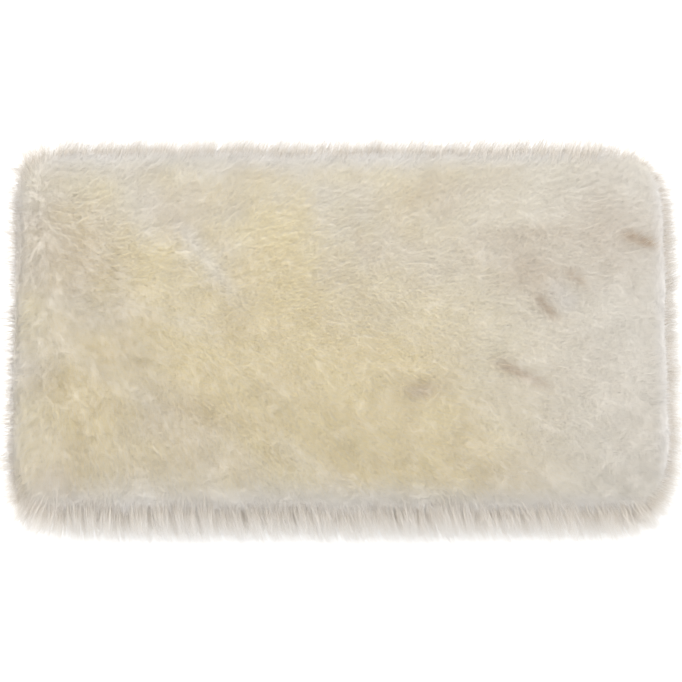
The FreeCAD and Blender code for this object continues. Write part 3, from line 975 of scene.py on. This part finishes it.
def yarn(name, centres, section_normals, radius, material):
    """Piece of closed round yarns along closed lines of points, in rows round the cuff."""
    outward = np.insert(section_normals, 0, 0, axis=1)[None]
    heading = normalised(np.roll(centres, -1, axis=1) - np.roll(centres, 1, axis=1))
    side = normalised(np.cross(heading, outward))
    over = np.cross(side, heading)
    angle = np.arange(YARN_SIDES) * math.tau / YARN_SIDES
    offset = (
        side[:, :, None, :] * np.cos(angle)[:, None]
        + over[:, :, None, :] * np.sin(angle)[:, None]
    )
    mesh = grid_mesh(name, centres[:, :, None, :] + offset * radius, True, True)
    piece = new_object(name, mesh)
    dress(piece, material, "cuff", "knit")
    return piece


def cuff_yarn(material):
    """Rows of real yarn loops in a two by two rib."""
    count = WALES * LOOP_POINTS
    column = np.arange(count) / LOOP_POINTS
    part = column % 1
    bulged = column + LOOP_SPREAD * np.sin(4 * math.pi * part)
    ring, normals, _ = pocket_ring(count * RING_DETAIL)
    place = np.round(bulged * LOOP_POINTS * RING_DETAIL).astype(int) % len(ring)
    course_height = (CUFF_HIGH.x - CUFF_LOW.x - 2 * YARN_RADIUS) / (COURSES + 2 * LOOP_REACH - 1)
    course = np.arange(COURSES)[:, None] + LOOP_REACH
    course = course - LOOP_REACH * np.cos(math.tau * part)
    along = CUFF_LOW.x + YARN_RADIUS + course_height * course
    inset = cuff_inset(column, along)
    inset = inset + rib_level(column) * LOOP_RELIEF * np.cos(4 * math.pi * part)
    centres = ring_places(along, inset, ring[place], normals[place])
    return yarn("cuff_yarn", centres, normals[place], YARN_RADIUS, material)


def cuff_edges(material):
    """The cast-on and bound-off edges: a cord of yarn in loops round each end of the cuff."""
    count = WALES * LOOP_POINTS
    column = np.arange(count) / LOOP_POINTS
    ring, normals, _ = pocket_ring(count)
    ends = np.array([[CUFF_LOW.x + HEM_CORD], [CUFF_HIGH.x - HEM_CORD]])
    along = ends + HEM_SCALLOP * np.array([[1], [-1]]) * (1 - np.cos(math.tau * column))
    inset = cuff_inset(column, along) + HEM_WAVE * np.sin(4 * math.pi * column)
    centres = ring_places(along, inset, ring, normals)
    return yarn("cuff_edge_cords", centres, normals, HEM_CORD, material)


def label_tab(material):
    """Blank woven tab, held down along its two stitched ends and a little raised between them."""
    along = np.linspace(LABEL_LOW.x, LABEL_HIGH.x, LABEL_ROWS)[:, None]
    across = np.linspace(LABEL_LOW.y, LABEL_HIGH.y, LABEL_COLUMNS)[None, :]
    share = (along - LABEL_LOW.x) / (LABEL_HIGH.x - LABEL_LOW.x)
    ripple = 1 + LABEL_RIPPLE_SHARE * np.sin(across / LABEL_RIPPLE)
    bow = LABEL_BOW * np.sin(math.pi * share) ** 2 * ripple
    places = np.stack(np.broadcast_arrays(along, across, LABEL_LOW.z + bow), axis=-1)
    piece = cloth(
        "label_tab", places, (False, False), across, along, (LABEL_HIGH.z - LABEL_LOW.z, 1),
        material, "cuff", "label", "care_label",
    )


def repaint(node, material):
    """A CAD node of the right shape keeps it and gets a better material."""
    for material_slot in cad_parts[node].material_slots:
        material_slot.material = material


# ---------------------------------------------------------------- materials

class Surface:
    """A new material, with short ways to add the nodes that make its look."""

    def __init__(self, name):
        self.material = bpy.data.materials.new(name)
        self.material.use_nodes = True
        self.tree = self.material.node_tree

    def feed(self, inputs, values):
        """Gives each named or numbered input its value: a socket, a colour or a number."""
        for key, value in values.items():
            if isinstance(value, bpy.types.NodeSocket):
                self.tree.links.new(value, inputs[key])
            else:
                inputs[key].default_value = (*value, 1) if isinstance(value, tuple) else value

    def add(self, kind, output, values, **settings):
        node = self.tree.nodes.new("ShaderNode" + kind)
        for setting, value in settings.items():
            setattr(node, setting, value)
        self.feed(node.inputs, values)
        return node.outputs[output]

    def shade(self, **values):
        """Sets the main shader's inputs, named as in Blender but with underscores."""
        named = {name.replace("_", " "): value for name, value in values.items()}
        self.feed(self.tree.nodes["Principled BSDF"].inputs, named)

    def attribute(self, name):
        return self.add("Attribute", "Fac", {}, attribute_name=name)

    def mix(self, factor, first, second):
        return self.add("Mix", 2, {0: factor, 6: first, 7: second}, data_type="RGBA")

    def rescale(self, value, band, low, high):
        return self.add("MapRange", 0, {0: value, 1: band[0], 2: band[1], 3: low, 4: high})

    def maths(self, operation, *values):
        return self.add("Math", 0, dict(enumerate(values)), operation=operation)

    def wave(self, name, period):
        """Sine of a stored place, from -1 to 1, with a period in millimetres."""
        turns = self.maths("MULTIPLY", self.attribute(name), math.tau / period)
        return self.maths("SINE", turns)

    def noise(self, size, detail):
        """Noise from 0 to 1 in the object's own space, with features of about the given size."""
        place = self.add("TexCoord", "Object", {})
        return self.add("TexNoise", "Fac", {"Vector": place, "Scale": 1 / size, "Detail": detail})

    def fibrous(self, colour, roughness, sheen, height, relief):
        """Colour, gloss and relief of anything but wool."""
        values = {"Strength": BUMP_STRENGTH, "Distance": relief, "Height": height}
        self.shade(
            Base_Color=colour, Roughness=roughness, Sheen_Weight=sheen,
            Specular_IOR_Level=FIBRE_SPECULAR, Normal=self.add("Bump", "Normal", values),
        )
        return self.material

    def wool(self, colour):
        """Matt wool that lets part of the light through to its far side."""
        self.shade(Base_Color=colour, Roughness=WOOL_ROUGHNESS, Specular_IOR_Level=WOOL_SPECULAR)
        glow = self.add("BsdfTranslucent", 0, {"Color": colour})
        matt = self.tree.nodes["Principled BSDF"].outputs[0]
        mixed = self.add("MixShader", 0, {0: GLOW_SHARE, 1: matt, 2: glow})
        self.feed(self.tree.nodes["Material Output"].inputs, {"Surface": mixed})
        return self.material


def halo_material():
    """Fine fibre of the rim, darker next to the skin as painted shade of the side walls, and
    bleached at its ends.
    """
    look = Surface("lambswool_fringe")
    tip = look.rescale(look.attribute("tip"), FRINGE_TIP_BAND, 0, 1)
    shade = look.rescale(look.attribute("shade"), (0, 1), FRINGE_SHADE_SHARE, 0)
    return look.wool(look.mix(shade, look.mix(tip, FRINGE_ROOT_PAINTED_SHADE, FRINGE_TIP), FRINGE_SHADE))


def wool_material():
    look = Surface("lambswool")
    colour = look.mix(look.attribute("warmth"), CREAM, YELLOW)
    # Paler wool, with painted light at the rim and on the ridges
    colour = look.mix(look.attribute("pale_and_painted_light"), colour, PALE)
    # Brown stains, with painted shade at the creases
    colour = look.mix(look.attribute("brown_and_painted_shade"), colour, BROWN)
    tip = look.rescale(look.attribute("tip"), (0, 1), ROOT_COLOUR, 1)
    colour = look.mix(tip, ROOT, colour)
    shade = look.rescale(look.attribute("shade"), (0, 1), SHADE_SHARE, 0)
    return look.wool(look.mix(shade, colour, SHADE))


def cloth_material(name, light, dark, around, along, relief, sheen):
    """Woven or knit cloth with slubs, and with painted shade in the hollows: the colour darkens
    where the weave lies low.
    """
    look = Surface(name)
    waves = (look.wave("around", around), look.wave("along", along))
    threads = look.maths("MULTIPLY", *waves)
    slub = look.noise(SLUB_SIZE, COARSE_DETAIL)
    height = look.maths("ADD", look.rescale(threads, (-1, 1), 0, 1), slub)
    # Painted shade: the colour follows the height, darker in the weave's hollows
    colour = look.mix(look.rescale(height, CLOTH_TONE_AND_PAINTED_SHADE_BAND, 0, 1), dark, light)
    rough = look.rescale(slub, NOISE_BAND, *CLOTH_ROUGHNESS)
    return look.fibrous(colour, rough, sheen, height, relief)


def mottled_material(name, light, dark, size, relief, roughness, sheen):
    """Fibrous or grained surface with an uneven colour, such as suede, yarn or thread."""
    look = Surface(name)
    fine = look.noise(size, FINE_DETAIL)
    tone = look.maths("ADD", look.noise(size * CLOUD_SCALE, COARSE_DETAIL), fine)
    colour = look.mix(look.rescale(tone, MOTTLED_TONE_BAND, 0, 1), dark, light)
    rough = look.rescale(fine, NOISE_BAND, roughness, roughness + ROUGHNESS_SPREAD)
    return look.fibrous(colour, rough, sheen, fine, relief)


def dress_mouth():
    """Skins, lining, binding, cuff, label and threads."""
    hide, knit, thread, rubber = (mottled_material(name, *look) for name, look in MOTTLED.items())
    lining, tape, satin = (cloth_material(name, *look) for name, look in CLOTHS.items())
    skins(hide, lining)
    binding_tape(tape)
    cuff_web(knit, [cuff_yarn(knit), cuff_edges(knit)])
    label_tab(satin)
    repaint("cuff_elastic_rings", rubber)
    for node in THREAD_NODES:
        repaint(node, thread)


# ---------------------------------------------------------------- stage

def build_stage():
    mesh = bpy.data.meshes.new("floor")
    corners = [(x * FLOOR_HALF, y * FLOOR_HALF, 0) for x, y in ((-1, -1), (1, -1), (1, 1), (-1, 1))]
    mesh.from_pydata(corners, [], [(0, 1, 2, 3)])
    floor = new_object("floor", mesh)
    look = Surface("floor_white")
    look.shade(Base_Color=(FLOOR_GREY,) * 3, Roughness=FLOOR_ROUGHNESS)
    mesh.materials.append(look.material)


def area_light(name, place, power):
    """A round lamp that faces the middle of the mitt."""
    light = bpy.data.lights.new(name, "AREA")
    light.shape = "DISK"
    light.size = LAMP_SIZE
    light.energy = power
    lamp = new_object(name, light)
    lamp.location = place
    lamp.rotation_euler = (CENTRE - Vector(place)).to_track_quat("-Z", "Y").to_euler()


def build_lights():
    world = bpy.context.scene.world or bpy.data.worlds.new("world")
    bpy.context.scene.world = world
    world.use_nodes = True
    background = world.node_tree.nodes["Background"]
    background.inputs["Color"].default_value = (1, 1, 1, 1)
    background.inputs["Strength"].default_value = WORLD_STRENGTH
    for lamp in LAMPS:
        area_light(*lamp)


def build_camera():
    camera_data = bpy.data.cameras.new("camera")
    camera_data.lens = camera_data.sensor_width * CAMERA_DISTANCE / FRAME_WIDTH
    camera = new_object("camera", camera_data)
    target = Vector((CENTRE.x, CENTRE.y - TARGET_NEARER, SEAM_Z))
    back = Vector((0, -math.cos(CAMERA_ELEVATION), math.sin(CAMERA_ELEVATION)))
    camera.location = target + back * CAMERA_DISTANCE
    camera.rotation_euler = (-back).to_track_quat("-Z", "Y").to_euler()
    bpy.context.scene.camera = camera


def main():
    bpy.context.scene.view_settings.view_transform = "Standard"
    rng = np.random.default_rng(SEED)
    wool = wool_material()
    fringe = halo_material()
    for name in ("front_wool", "back_wool"):
        fleece(name, name + "_pile", wool, fringe, rng)
    dress_mouth()
    build_stage()
    build_lights()
    build_camera()


main()
